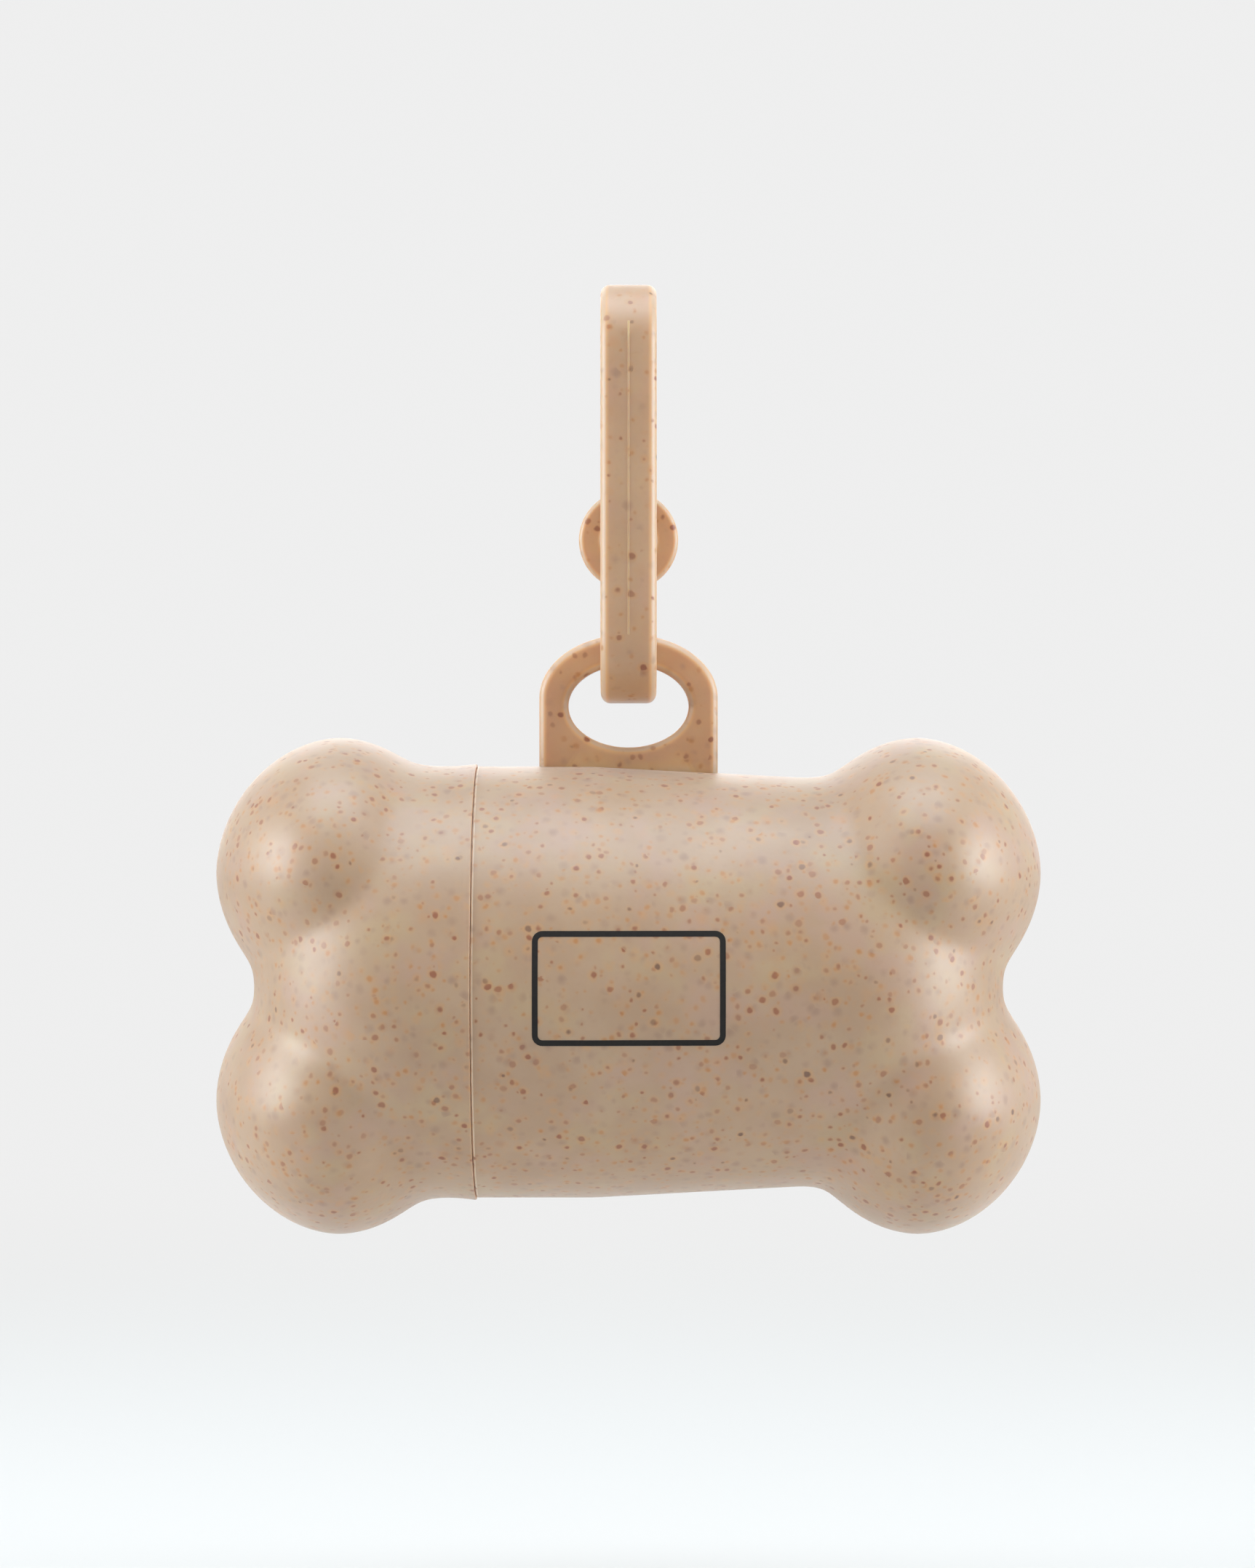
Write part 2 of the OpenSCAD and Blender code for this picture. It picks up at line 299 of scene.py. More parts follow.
def strawPlastic(name, tones, waxy, edge):
    # the moulded plastic: clouds of tone, a painted highlight and glow along the edges, specks, and a
    # faint unevenness
    finish = Finish(
        name,
        IOR=1.55,
        Specular_IOR_Level=0.85,
        Sheen_Weight=waxy["sheen"],
        Sheen_Roughness=0.5,
        Subsurface_Weight=waxy["weight"],
        Subsurface_Radius=(1.0, 0.52, 0.26),
        Subsurface_Scale=waxy["depth"] * mm,
    )
    tone = tones["pale"]
    for kind, cloud in toneClouds.items():
        place = finish.shift(finish.place, *cloud["shift"]) if "shift" in cloud else finish.place
        drift = finish.noise(cloud["size"], cloud["detail"], place, cloud["rough"])
        share = finish.ease(drift, cloud["from"], cloud["to"]) * cloud["share"]
        tone = finish.blend(share, tone, tones[kind])
    # the mask for painted edge light, and for the shell also the painted glow in the seam's gap
    rim, tone = edge(finish, tone)
    # painted light along the edges: a warm glow, then a pale highlight
    for kind, band in paintedEdgeLight.items():
        share = finish.ease(rim, band["from"], band["to"]) * band["share"]
        tone = finish.blend(share, tone, tones[kind])
    grains = {}
    for seed, (kind, layer) in enumerate(huskLayers.items()):
        grains[kind], halo = specks(finish, layer, seed, waxy["density"])
        if layer["halo"]:
            tone = finish.blend(halo, tone, huskTones["halo"])
        tone = finish.blend(grains[kind], tone, huskTones[kind])
    finish.drive(Base_Color=tone)
    finish.drive(Roughness=finish.noise(size=2.4, detail=3.0) * 0.12 + 0.40)
    fine = finish.bump(finish.noise(size=0.5), distance=0.02, strength=0.35)
    broad = finish.bump(finish.noise(size=3.5, detail=1.0), distance=0.10, strength=0.16, normal=fine)
    husks = grains["rust"] + grains["bark"]
    finish.drive(Normal=finish.bump(husks, distance=0.03, strength=0.4, normal=broad))
    return finish.material


def seamEdge(finish, tone):
    # a painted highlight on the thin rim of the body beside the seam, and a painted warm glow at the
    # bottom of the gap, standing in for light through the plastic
    across = finish.node("ShaderNodeSeparateXYZ", {}, {0: finish.place}).out("X")
    body = finish.ease(across, (seam["x"] - seam["gap"]) * mm, seam["x"] * mm)
    paleFull, paleEnd = seam["x"] + seam["paleFull"], seam["x"] + seam["paleEnd"]
    rim = body * finish.ease(across, paleEnd * mm, paleFull * mm)
    mouth, fade = seam["x"] - seam["gap"], seam["tintFade"]
    inside = finish.ease(across, (mouth - fade) * mm, mouth * mm)
    inside = inside * finish.ease(across, (seam["x"] + fade) * mm, seam["x"] * mm)
    return rim, finish.blend(inside, tone, paintedSeamGlow)


def roundedEdge(finish, tone):
    # the share that edgeShares writes on rounded edges, where the painted highlight and glow go
    return finish.node("ShaderNodeAttribute", {"attribute_name": "edgeShare"}).out("Fac"), tone


def cardboardFinish():
    finish = Finish("cardboard", Roughness=0.85)
    fibre = finish.noise(size=0.6, detail=5.0, roughness=0.7)
    dark = finish.ease(fibre, low=0.35, high=0.7)
    tone = finish.blend(dark, color(0.42, 0.30, 0.19), color(0.27, 0.18, 0.10))
    finish.drive(Base_Color=tone, Normal=finish.bump(fibre, distance=0.05, strength=0.6))
    return finish.material


def filmFinish():
    finish = Finish("bagFilm", Specular_IOR_Level=0.5)
    creaseCell = 5.0 * mm
    wobbled = finish.shift(finish.place, amount=2.0, size=4.0)
    crease = finish.node(
        "ShaderNodeTexVoronoi",
        {"feature": "DISTANCE_TO_EDGE"},
        {"Vector": wobbled, "Scale": 1 / creaseCell},
    )
    wrinkles = finish.ease(crease, low=0.0, high=0.16)
    cloudy = finish.noise(size=4.0, detail=3.0)
    tone = finish.blend(cloudy, color(0.035, 0.16, 0.055), color(0.06, 0.24, 0.09))
    tone = finish.blend(wrinkles * 0.25, color(0.11, 0.33, 0.15), tone)
    finish.drive(Base_Color=tone, Roughness=finish.noise(size=1.5) * 0.2 + 0.28)
    uneven = wrinkles + finish.noise(size=0.9, detail=3.0) * 0.4
    finish.drive(Normal=finish.bump(uneven, distance=0.12, strength=0.7))
    return finish.material


def inkFinish():
    finish = Finish("printInk", Roughness=0.6, Specular_IOR_Level=0.2)
    cloudy = finish.noise(size=0.35, detail=3.0)
    tone = finish.blend(cloudy, color(0.010, 0.009, 0.009), color(0.022, 0.019, 0.017))
    fine = finish.bump(finish.noise(size=0.12), distance=0.01, strength=0.4)
    finish.drive(Base_Color=tone, Normal=fine)
    return finish.material


# The last two tones are painted light: a warm glow and a pale highlight on the body's rim by the seam.
shellTones = {
    "pale": color(0.455, 0.294, 0.174),
    "tan": color(0.411, 0.253, 0.142),
    "blush": color(0.455, 0.272, 0.192),
    "straw": color(0.464, 0.322, 0.165),
    "husk": color(0.36, 0.20, 0.10),
    "paintedRimGlow": color(0.500, 0.340, 0.205),
    "rim": color(0.800, 0.670, 0.520),
}
# The last two tones are painted light: a warm glow and a pale highlight on the rounded edges.
clipTones = {
    "pale": color(0.540, 0.330, 0.182),
    "tan": color(0.500, 0.285, 0.146),
    "blush": color(0.515, 0.295, 0.190),
    "straw": color(0.580, 0.360, 0.170),
    "husk": color(0.38, 0.20, 0.09),
    "paintedRimGlow": color(0.680, 0.390, 0.155),
    "rim": color(0.560, 0.425, 0.310),
}
thinTones = clipTones | {
    "pale": color(0.570, 0.310, 0.140),
    "tan": color(0.530, 0.260, 0.105),
    "blush": color(0.530, 0.270, 0.140),
    "straw": color(0.600, 0.340, 0.130),
}
# How far light goes into the plastic, its soft sheen, and its share of the specks.
shellWax = {"weight": 0.25, "depth": 1.2, "sheen": 0.25, "density": 1.0}
clipWax = {"weight": 0.55, "depth": 2.4, "sheen": 0.2, "density": 0.55}
shellPlastic = strawPlastic("shellPlastic", shellTones, shellWax, seamEdge)
clipPlastic = strawPlastic("clipPlastic", clipTones, clipWax, roundedEdge)
thinPlastic = strawPlastic("thinPlastic", thinTones, clipWax, roundedEdge)
cardboard = cardboardFinish()
bagFilm = filmFinish()
printInk = inkFinish()
print("finishes ready")


# Shared steps of modelling.


def edgeShares(bm, axis):
    # 1 where a rounded edge faces half way between the axis and its sides, 0 on the flats; the finishes
    # paint a highlight and glow there by this share
    bm.normal_update()
    share = bm.verts.layers.float.new("edgeShare")
    for vert in bm.verts:
        along = vert.normal[axis] ** 2
        vert[share] = 4 * along * (1 - along)


def joinTo(bm, other):
    mesh = bpy.data.meshes.new("joining")
    other.to_mesh(mesh)
    other.free()
    bm.from_mesh(mesh)
    bpy.data.meshes.remove(mesh)


creaseAngle = 35  # degrees; flatter edges are shaded smooth
edgeSteps = np.radians(np.linspace(0, 90, 6))  # the angles of a rounded edge's rings


def finishPiece(bm, name, body, material, stands=()):
    bmesh.ops.scale(bm, vec=(mm, mm, mm), verts=bm.verts)
    mesh = bpy.data.meshes.new(name)
    bm.to_mesh(mesh)
    bm.free()
    mesh.polygons.foreach_set("use_smooth", [True] * len(mesh.polygons))
    mesh.set_sharp_from_angle(angle=math.radians(creaseAngle))
    mesh.materials.append(material)
    piece = bpy.data.objects.new(name, mesh)
    bpy.context.scene.collection.objects.link(piece)
    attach(piece, body)
    if stands:
        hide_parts(*stands)
    print(name, len(mesh.polygons), "faces")
    return piece


def closeUp(bm):
    bmesh.ops.remove_doubles(bm, verts=bm.verts, dist=0.0005)
    bmesh.ops.recalc_face_normals(bm, faces=bm.faces)


def roundEdges(bm, edges, radius, segments):
    bmesh.ops.bevel(
        bm,
        geom=edges,
        offset=radius,
        offset_type="OFFSET",
        affect="EDGES",
        segments=segments,
        profile=0.5,
        material=-1,
        clamp_overlap=True,
    )


def loft(rings):
    # a grid whose rows lie on the closed rings; a ring drawn in to a point closes an end
    count, around = rings.shape[:2]
    bm = bmesh.new()
    bmesh.ops.create_grid(bm, x_segments=count - 1, y_segments=around, size=0.5)
    for vert in bm.verts:
        row = round((vert.co.x + 0.5) * (count - 1))
        step = round((vert.co.y + 0.5) * around) % around
        vert.co = rings[row, step]
    closeUp(bm)
    return bm


def insetOutline(points, distance):
    # moves each point of a closed flat outline inwards along its mitre
    ahead = np.roll(points, -1, axis=0) - points
    ahead /= np.linalg.norm(ahead, axis=1)[:, None]
    behind = np.roll(ahead, 1, axis=0)
    x, y = points.T
    turning = np.sign((x * np.roll(y, -1) - y * np.roll(x, -1)).sum())
    normal = turning * np.column_stack([-(ahead + behind)[:, 1], (ahead + behind)[:, 0]])
    normal /= np.linalg.norm(normal, axis=1)[:, None]
    mitre = (normal * turning * np.column_stack([-ahead[:, 1], ahead[:, 0]])).sum(axis=1)
    return points + normal * (distance / mitre)[:, None]


def roundRings(profile):
    # turns a profile of (x, radius) about the X axis
    along, radius = np.array(profile, float).T
    rings = [
        along[:, None] * np.ones_like(turns),
        radius[:, None] * np.cos(turns),
        radius[:, None] * np.sin(turns),
    ]
    return np.stack(rings, axis=-1)


# The bone's skin, as a field that is 0 on it.


def neckRadiusAt(x):
    taper = np.clip((x - bone["taperFrom"]) / (bone["taperTo"] - bone["taperFrom"]), 0, 1)
    flare = np.clip(1 + (x - seam["x"]) / seam["lipRun"], 0, 1) ** 2
    onBody = x > seam["x"] - seam["gap"] / 2
    return bone["neckRadius"] + np.where(onBody, -bone["neckTaper"] * taper, seam["lip"] * flare)


def neckField(points):
    radius = neckRadiusAt(points[..., 0])
    over = np.maximum(0, np.abs(points[..., 0]) - bone["neckHalf"]) / bone["endLength"]
    out = np.hypot(points[..., 1], points[..., 2]) / radius
    power = bone["endFullness"]
    return radius * ((over**power + out**power) ** (1 / power) - 1)


def lobeField(points, height):
    side = np.where(points[..., 0] < 0, -1, 1)
    centre = np.stack([side * bone["lobeOut"], 0 * side, 0 * side + height], axis=-1)
    size = np.array(bone["lobeSize"])
    local = (points - centre) / size
    power = bone["lobeFullness"]
    reach = (np.abs(local) ** power).sum(axis=-1) ** (1 / power)
    slope = np.linalg.norm(local / size, axis=-1)
    return reach * (reach - 1) / np.maximum(slope, 0.0001)


def boneField(points):
    fields = [neckField(points)]
    for up in (1, -1):
        fields.append(lobeField(points, up * bone["lobeUp"] - bone["lobeDrop"]))
    return -bone["blend"] * np.log(sum(np.exp(-field / bone["blend"]) for field in fields))


def skinRing(startX, tilt, side):
    # where rays from the axis, tilted towards one end, meet the skin
    ahead = np.stack(
        [
            np.full_like(turns, side * math.sin(tilt)),
            math.cos(tilt) * np.cos(turns),
            math.cos(tilt) * np.sin(turns),
        ],
        axis=-1,
    )
    start = np.array([startX, 0.0, 0.0])
    near = np.full_like(turns, bone["neckHalf"] / 2)
    far = np.full_like(turns, bone["neckHalf"] * 2)
    for halving in range(bone["halvings"]):
        middle = (near + far) / 2
        inside = boneField(start + middle[:, None] * ahead) < 0
        near = np.where(inside, middle, near)
        far = np.where(inside, far, middle)
    return start + far[:, None] * ahead


def rimRings(ring, inwards):
    # rounds the skin's last ring over into the flat of the seam
    rings = []
    for angle in np.radians(np.linspace(0, 90, seam["rimSteps"] + 1))[1:]:
        rounded = ring.copy()
        rounded[:, 0] += inwards * seam["rimRound"] * math.sin(angle)
        radius = np.hypot(ring[:, 1], ring[:, 2])
        lowered = radius - seam["rimRound"] * (1 - math.cos(angle))
        rounded[:, 1:] *= (lowered / radius)[:, None]
        rings.append(rounded)
    return rings


def domeProfile():
    # the rounded inner end of the bore, from its pole outwards
    power = 2 / bone["endFullness"]
    profile = []
    for angle in np.linspace(math.pi / 2, 0, cavity["rings"]):
        x = bone["neckHalf"] + cavity["domeLength"] * math.sin(angle) ** power
        profile.append((x, cavity["bore"] * max(0.0, math.cos(angle)) ** power))
    profile[0] = (profile[0][0], 0.0)
    return profile


def poleRing(x):
    return np.tile([x, 0.0, 0.0], (bone["around"], 1))


def bodyRings():
    fanX = bone["fanX"]
    rimX = seam["x"] + seam["rimRound"]
    fan = [skinRing(fanX, tilt, 1) for tilt in np.radians(np.linspace(90, 0, bone["fanSteps"]))]
    fan[0] = poleRing(fan[0][:, 0].mean())
    neck = [skinRing(x, 0.0, 1) for x in np.linspace(fanX, rimX, bone["neckSteps"])[1:]]
    tip = seam["x"] - seam["spigotLength"]
    spigot, bore, chamfer = seam["spigotRadius"], cavity["bore"], seam["chamfer"]
    groove = seam["x"] - seam["gap"] + seam["grooveGap"]
    inner = [
        (seam["x"], bone["neckRadius"] - seam["grooveDepth"]),
        (groove, bone["neckRadius"] - seam["grooveDepth"]),
        (groove, spigot),
        (tip + chamfer, spigot),
        (tip + chamfer / 4, spigot - chamfer / 4),
        (tip, spigot - chamfer),
        (tip, bore + chamfer / 2),
        (tip + chamfer / 2, bore),
    ]
    boreFrom = tip + cavity["boreFrom"]
    inner += [(x, bore) for x in np.linspace(boreFrom, bone["neckHalf"], cavity["boreSteps"])[:-1]]
    inner += domeProfile()[::-1]
    outer = fan + neck + rimRings(neck[-1], -1)
    return np.concatenate([np.array(outer), roundRings(inner)])


def capRings():
    startX = seam["x"] - seam["gap"] - seam["rimRound"]
    tilts = np.radians(np.linspace(90, 0, bone["capSteps"]))
    fan = [skinRing(startX, tilt, -1) for tilt in tilts]
    fan[0] = poleRing(fan[0][:, 0].mean())
    mouth = seam["x"] - seam["gap"]
    socket, chamfer = seam["socketRadius"], seam["chamfer"]
    depth = seam["x"] - seam["spigotLength"] - seam["socketRoom"]
    dome = [(-x, radius) for x, radius in domeProfile()[::-1] if -x < depth]
    inner = [(mouth, socket + chamfer), (mouth - chamfer, socket)]
    boreFrom = mouth - cavity["boreFrom"]
    inner += [(x, socket) for x in np.linspace(boreFrom, depth, cavity["socketSteps"])]
    inner += [(depth, dome[0][1] + chamfer / 2), (depth - chamfer / 3, dome[0][1])]
    inner += dome
    outer = fan + rimRings(fan[-1], 1)
    return np.concatenate([np.array(outer), roundRings(inner)])


# The slot at the back, and the notch for the cap's key.

bagSlot = {
    "length": 28.0,
    "height": 6.0,
    "x": 3.0,
    "lipRound": 0.8,
    "lipAngle": 72,
    "lipSteps": 9,
    "around": 96,
    "depths": (8.0, 4.0),
    "past": 1.5,
}


def slotRing(grow, depth):
    straight = (bagSlot["length"] - bagSlot["height"]) / 2
    radius = bagSlot["height"] / 2 + grow
    angle = np.linspace(0, 2 * math.pi, bagSlot["around"], endpoint=False)
    x = bagSlot["x"] + np.where(np.cos(angle) >= 0, straight, -straight) + radius * np.cos(angle)
    z = radius * np.sin(angle)
    y = np.sqrt((neckRadiusAt(x) - depth) ** 2 - z**2)
    return np.stack([x, y, z], axis=-1)


def slotCutter():
    lip = bagSlot["lipRound"]
    rings = [slotRing(0.0, depth) for depth in bagSlot["depths"]]
    for angle in np.radians(np.linspace(0, bagSlot["lipAngle"], bagSlot["lipSteps"])):
        rings.append(slotRing(lip * (1 - math.cos(angle)), lip * (1 - math.sin(angle))))
    rings.append(slotRing(lip, -bagSlot["past"]))
    ends = [np.tile(ring.mean(axis=0), (bagSlot["around"], 1)) for ring in (rings[0], rings[-1])]
    return loft(np.array(ends[:1] + rings + ends[1:]))


def boxAt(bm, centre, size):
    place = Matrix.Translation(centre) @ Matrix.Diagonal((*size, 1.0))
    bmesh.ops.create_cube(bm, size=1.0, matrix=place)


def carve(bm, other, operation="DIFFERENCE"):
    # cuts one closed mesh out of another, or joins the two into one skin
    objects = []
    for part in (bm, other):
        mesh = bpy.data.meshes.new("carving")
        part.to_mesh(mesh)
        part.free()
        objects.append(bpy.data.objects.new("carving", mesh))
        bpy.context.scene.collection.objects.link(objects[-1])
    cut = objects[0].modifiers.new("cut", "BOOLEAN")
    cut.object = objects[1]
    cut.solver = "EXACT"
    cut.operation = operation
    carved = bmesh.new()
    carved.from_object(objects[0], bpy.context.evaluated_depsgraph_get())
    for made in objects:
        mesh = made.data
        bpy.data.objects.remove(made)
        bpy.data.meshes.remove(mesh)
    return carved


def makeBody():
    bm = carve(loft(bodyRings()), slotCutter())
    notch = bmesh.new()
    tip = seam["x"] - seam["spigotLength"]
    depth = seam["keyLength"] + seam["keyPlay"]
    size = (2 * depth, seam["keyWidth"] + 2 * seam["keyPlay"], seam["notchHeight"])
    boxAt(notch, Vector((tip, 0, -seam["spigotRadius"])), size)
    bm = carve(bm, notch)
    bmesh.ops.translate(bm, verts=bm.verts, vec=(0, 0, axisHeight))
    return finishPiece(bm, "bodyShell", "housing", shellPlastic, ["body_shell"])


def makeCap():
    bm = loft(capRings())
    key = bmesh.new()
    low, high = cavity["bore"] + seam["keyPlay"], seam["socketRadius"] + seam["keySunk"]
    tip = seam["x"] - seam["spigotLength"] - seam["socketRoom"] / 2
    centre = Vector((tip + seam["keyLength"] / 2, 0, -(low + high) / 2))
    boxAt(key, centre, (seam["keyLength"], seam["keyWidth"], high - low))
    roundEdges(key, key.edges[:], seam["keyRound"], segments=2)
    joinTo(bm, key)
    bmesh.ops.translate(bm, verts=bm.verts, vec=(0, 0, axisHeight))
    return finishPiece(bm, "endCap", "cap", shellPlastic, ["end_cap"])


# The hanging tab: an arched plate with an oval eye.

tab = {
    "width": 17.3,
    "thickness": 3.0,
    "arm": 2.95,
    "eyeWidth": 11.65,
    "eyeHeight": 8.0,
    "foot": 1.85,
    "arch": 6.15,
    "around": 144,
    "edgeRound": 0.8,
    "flatRim": 0.10,
    "sunk": 2.2,
    "strides": (4.0, 1.0, 0.25, 0.05, 0.01, 0.002),
}


def tabOutline(angle, eyeHeight, tabTop, inset):
    # where a ray from the eye's centre leaves the plate, drawn in by the inset but at its foot;
    # each stride goes as far as it can and the next, finer one goes on from there
    direction = Vector((math.cos(angle), math.sin(angle)))
    half, arch = tab["width"] / 2 - inset, tab["arch"] - inset
    spring = tabTop - tab["arch"]
    foot = axisHeight + bone["neckRadius"] - tab["sunk"]
    reach = 0.0
    for step in tab["strides"]:
        while True:
            x = (reach + step) * direction.x
            z = eyeHeight + (reach + step) * direction.y
            arched = z > spring and (x / half) ** 2 + ((z - spring) / arch) ** 2 > 1
            if abs(x) > half or z < foot or arched:
                break
            reach += step
    return reach * direction.x, eyeHeight + reach * direction.y


def makeTab():
    tabTop = axisHeight + bone["neckRadius"] + tab["foot"] + tab["eyeHeight"] + tab["arm"]
    eyeCentre = tabTop - tab["arm"] - tab["eyeHeight"] / 2
    angles = np.linspace(0, 2 * math.pi, tab["around"], endpoint=False)
    # how far each ring of a rounded edge lies in from the outline, and back from the face
    edge = tab["edgeRound"]
    steps = [(edge * (1 - math.cos(turn)), edge * (1 - math.sin(turn))) for turn in edgeSteps]
    steps.append((edge + tab["flatRim"], 0.0))
    outer, eye = [], []
    for inset, back in steps:
        outer.append(np.array([tabOutline(angle, eyeCentre, tabTop, inset) for angle in angles]))
        across, high = tab["eyeWidth"] / 2 + inset, tab["eyeHeight"] / 2 + inset
        eye.append(np.column_stack([across * np.cos(angles), eyeCentre + high * np.sin(angles)]))
    rings = []
    for side in (-1, 1):
        depths = [side * (tab["thickness"] / 2 - back) for inset, back in steps]
        sections = [
            [np.insert(ring, 1, depth, axis=1) for ring, depth in zip(section, depths)]
            for section in (outer, eye)
        ]
        first, second = sections[::-side]
        rings += first + second[::-1]
    bm = loft(np.array(rings + rings[:1]))
    edgeShares(bm, 1)
    return finishPiece(bm, "hangTab", "housing", thinPlastic)


# The clip, seen edge on from the front, with its sprung gate behind.

clip = {
    "width": 5.37,
    "bar": 2.9,
    "loopHeight": 34.4,
    "loopDepth": 13.8,
    "topRound": 6.6,
    "footRound": 6.4,
    "noseDrop": 10.6,
    "lap": 2.6,
    "gap": 0.3,
    "edgeRound": 0.9,
    "tipEdgeRound": 0.22,
    "noseRound": 0.4,
    "postRound": 0.3,
    "lapInnerRound": 0.25,
    "lapOuterRound": 0.2,
    "seatSweep": 135,
    "seatStep": 15,
    "footStep": 20,
    "leastSegments": 3,
    "segmentsPerMm": 3,
    "bendDrop": 26.4,
    "gateThickness": 1.5,
    "gateWidth": 4.4,
    "gateEdgeRound": 0.35,
    "ringRise": 0.4,
    "ringRadius": 4.9,
    "ringHole": 2.55,
    "ringThickness": 2.0,
    "ringEdgeRound": 0.55,
    "ringEdgeSegments": 5,
    "ringSteps": 72,
    "gateTopRound": 0.5,
    "ridgeWidth": 0.2,
    "ridgeRise": 0.07,
    "ridgeRound": 0.056,
    "ridgeTop": -1.2,
    "ridgeFoot": -31.0,
}
loopBack = clip["loopDepth"] / 2
gateMiddle = loopBack + clip["gateThickness"] / 2
ringHeight = -clip["bendDrop"] + clip["ringRise"] + clip["ringRadius"]


def plate(corners, width):
    # a plate across X from its outline's corners (y, z, corner rounding, edge rounding)
    flat = bmesh.new()
    edge = flat.verts.layers.float.new("edge")
    verts = []
    for y, z, rounding, edgeRound in corners:
        verts.append(flat.verts.new((0, y, z)))
        verts[-1][edge] = edgeRound
    flat.faces.new(verts)
    for vert, rounding in zip(verts, [corner[2] for corner in corners]):
        if rounding:
            segments = max(clip["leastSegments"], round(rounding * clip["segmentsPerMm"]))
            bmesh.ops.bevel(
                flat,
                geom=[vert],
                offset=rounding,
                offset_type="OFFSET",
                affect="VERTICES",
                segments=segments,
                profile=0.5,
                material=-1,
            )
    flat.faces.ensure_lookup_table()
    outline = np.array([(vert.co.y, vert.co.z, vert[edge]) for vert in flat.faces[0].verts])
    flat.free()
    rings = []
    for side in (-1, 1):
        for angle in edgeSteps[::side]:
            inset = insetOutline(outline[:, :2], outline[:, 2] * (1 - math.cos(angle)))
            x = side * (width / 2 - outline[:, 2] * (1 - math.sin(angle)))
            rings.append(np.column_stack([x, inset]))
    bm = loft(np.array(rings))
    bmesh.ops.edgeloop_fill(bm, edges=[edge for edge in bm.edges if edge.is_boundary])
    closeUp(bm)
    edgeShares(bm, 0)
    return bm


def clipCorners():
    # round the outside from the nose's tip, then the gate's seat, then back round the inside
    outer = loopBack + clip["bar"]
    floor, low = -clip["loopHeight"], -clip["loopHeight"] - clip["bar"]
    lapBack = loopBack + clip["gateThickness"] + clip["gap"]
    lapTop = -clip["noseDrop"] + clip["lap"] + clip["gap"]
    wide, fine = clip["edgeRound"], clip["tipEdgeRound"]
    corners = [
        (outer, -clip["noseDrop"], clip["noseRound"], fine),
        (outer, clip["bar"], clip["topRound"], wide),
        (-outer, clip["bar"], clip["topRound"], wide),
        (-outer, low, clip["footRound"], wide),
        (outer, low, clip["footRound"], wide),
        (outer, -clip["bendDrop"], clip["postRound"], fine),
    ]
    seat = clip["gateThickness"] / 2 + clip["gap"]
    for degrees in range(0, -clip["seatSweep"] - 1, -clip["seatStep"]):
        angle = math.radians(degrees)
        y, z = gateMiddle + seat * math.cos(angle), -clip["bendDrop"] + seat * math.sin(angle)
        corners.append((y, z, 0, fine))
    innerFoot = clip["footRound"] - clip["bar"]
    innerTop = clip["topRound"] - clip["bar"]
    return corners + [
        (loopBack, floor, innerFoot, wide),
        (-loopBack, floor, innerFoot, wide),
        (-loopBack, 0, innerTop, wide),
        (loopBack, 0, innerTop, wide),
        (loopBack, lapTop, clip["lapInnerRound"], fine),
        (lapBack, lapTop, clip["lapOuterRound"], fine),
        (lapBack, -clip["noseDrop"], clip["postRound"], fine),
    ]


def makeClip():
    # the frame, with the raised parting line down its front
    bm = plate(clipCorners(), clip["width"])
    height = clip["ridgeTop"] - clip["ridgeFoot"]
    middle = Vector((0, -loopBack - clip["bar"], (clip["ridgeTop"] + clip["ridgeFoot"]) / 2))
    ridge = bmesh.new()
    boxAt(ridge, middle, (clip["ridgeWidth"], 2 * clip["ridgeRise"], height))
    roundEdges(ridge, ridge.edges[:], clip["ridgeRound"], segments=2)
    # the ridge takes a full edge share, so the finish paints a pale highlight all along the parting line
    share = ridge.verts.layers.float.new("edgeShare")
    for vert in ridge.verts:
        vert[share] = 1.0
    bm = carve(bm, ridge, "UNION")
    return finishPiece(bm, "clipFrame", "clip", clipPlastic, ["clip_frame"])


def makeGate():
    # a strip with a round foot, in two lengths, and the ring between them
    half, edge = clip["gateThickness"] / 2, clip["gateEdgeRound"]
    inRing = (clip["ringRadius"] + clip["ringHole"]) / 2
    top = -clip["noseDrop"] + clip["lap"]
    front, back = gateMiddle - half, gateMiddle + half
    rounding = clip["gateTopRound"]
    upper = [(back, top, rounding, edge), (front, top, rounding, edge)]
    upper += [(front, ringHeight + inRing, 0, edge), (back, ringHeight + inRing, 0, edge)]
    bm = plate(upper, clip["gateWidth"])
    lower = [(back, ringHeight - inRing, 0, edge), (front, ringHeight - inRing, 0, edge)]
    for degrees in range(180, 361, clip["footStep"]):
        angle = math.radians(degrees)
        y, z = gateMiddle + half * math.cos(angle), -clip["bendDrop"] + half * math.sin(angle)
        lower.append((y, z, 0, edge))
    for part in (plate(lower, clip["gateWidth"]), thumbRing()):
        joinTo(bm, part)
    return finishPiece(bm, "clipGate", "gate", thinPlastic, ["clip_gate"])


